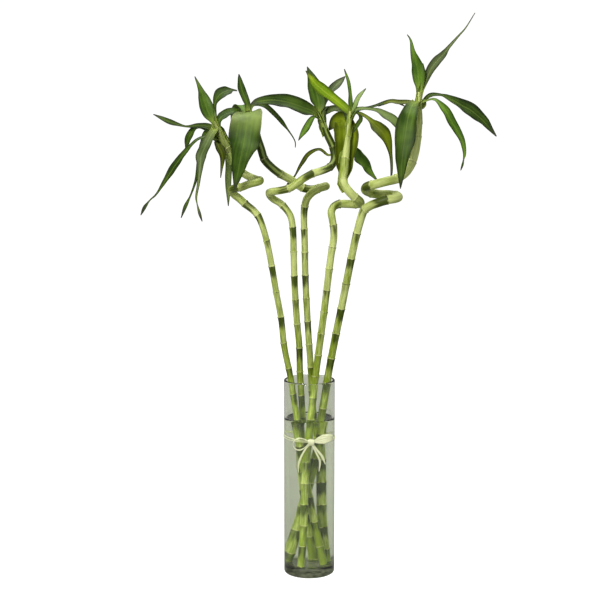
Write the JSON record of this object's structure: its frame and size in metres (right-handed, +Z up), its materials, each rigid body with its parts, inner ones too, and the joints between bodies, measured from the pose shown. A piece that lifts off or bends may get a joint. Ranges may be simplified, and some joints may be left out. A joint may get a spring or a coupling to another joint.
{
  "type": "lucky bamboo in a glass vase",
  "caption": "Spiral lucky bamboo: coiled green canes with strap leaves at their crowns, standing in a tall clear glass cylinder vase of water tied round with raffia.",
  "frame": {"origin": "centre of the vase's flat underside", "axes": "+Z up the vase, +X to the right and +Y away from a viewer who faces the raffia bow"},
  "size_m": [0.4464, 0.1177, 0.7144],
  "materials": {
    "vase_glass": "gloss",
    "water": "gloss",
    "raffia": "matte",
    "cane": "satin",
    "leaf_bright": "satin",
    "leaf_mid": "satin",
    "leaf_dark": "satin",
    "leaf_olive": "satin",
    "leaf_grey": "satin"
  },
  "bodies": {
    "root": {"vase": "vase_glass", "water": "water", "raffia_tie": "raffia", "stalk_1": "cane", "stalk_2": "cane", "stalk_3": "cane", "stalk_4": "cane", "stalk_5": "cane", "leaf_1_arched": "leaf_mid", "leaf_1_back_droop": "leaf_dark", "leaf_1_down": "leaf_olive", "leaf_1_folded": "leaf_mid", "leaf_1_front_droop": "leaf_dark", "leaf_1_hanging": "leaf_grey", "leaf_1_left": "leaf_dark", "leaf_1_long_droop": "leaf_mid", "leaf_1_right": "leaf_mid", "leaf_1_short": "leaf_dark", "leaf_1_upright": "leaf_dark", "leaf_2_back": "leaf_mid", "leaf_2_broad": "leaf_dark", "leaf_2_right": "leaf_dark", "leaf_2_spear": "leaf_bright", "leaf_3_curled": "leaf_olive", "leaf_3_down_left": "leaf_olive", "leaf_3_left": "leaf_dark", "leaf_3_small_right": "leaf_grey", "leaf_3_upper_right": "leaf_grey", "leaf_3_upright": "leaf_dark", "leaf_4_hugging": "leaf_olive", "leaf_4_light_right": "leaf_bright", "leaf_4_low_right": "leaf_dark", "leaf_4_olive_droop": "leaf_olive", "leaf_4_pale": "leaf_grey", "leaf_4_small_dark": "leaf_dark", "leaf_4_small_left": "leaf_grey", "leaf_4_thin_right": "leaf_dark", "leaf_4_thin_upright": "leaf_mid", "leaf_4_young": "leaf_bright", "leaf_5_back": "leaf_mid", "leaf_5_front_droop": "leaf_dark", "leaf_5_left": "leaf_olive", "leaf_5_light_right": "leaf_bright", "leaf_5_right": "leaf_dark", "leaf_5_small": "leaf_dark", "leaf_5_spear": "leaf_mid", "leaf_5_upper_right": "leaf_mid"}
  },
  "joints": []
}
